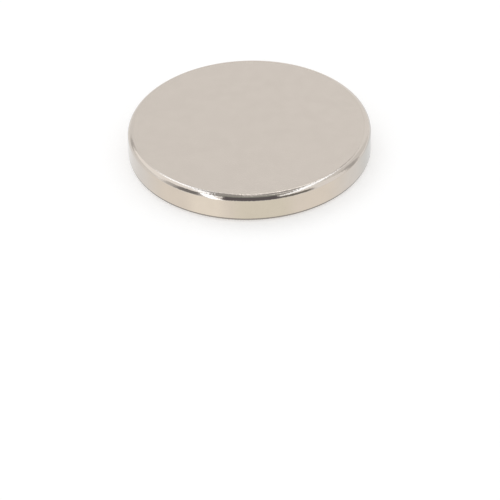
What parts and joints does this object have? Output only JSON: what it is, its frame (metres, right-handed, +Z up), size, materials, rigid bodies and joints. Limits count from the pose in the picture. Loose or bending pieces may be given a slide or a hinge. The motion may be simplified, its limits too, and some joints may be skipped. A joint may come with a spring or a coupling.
{
  "type": "disc magnet",
  "caption": "Flat round disc magnet: a thin plate with two flat faces, a straight rim and tumbled edges, plated in pale warm nickel.",
  "frame": {"origin": "middle of the lower face, on which the disc rests", "axes": "+Z up the disc's axis, out of the upper face; X and Y are alike, because the disc is round"},
  "size_m": [0.0254, 0.0254, 0.0032],
  "materials": {
    "nickel_plate": "gloss"
  },
  "bodies": {
    "root": {"disc": "nickel_plate"}
  },
  "joints": []
}
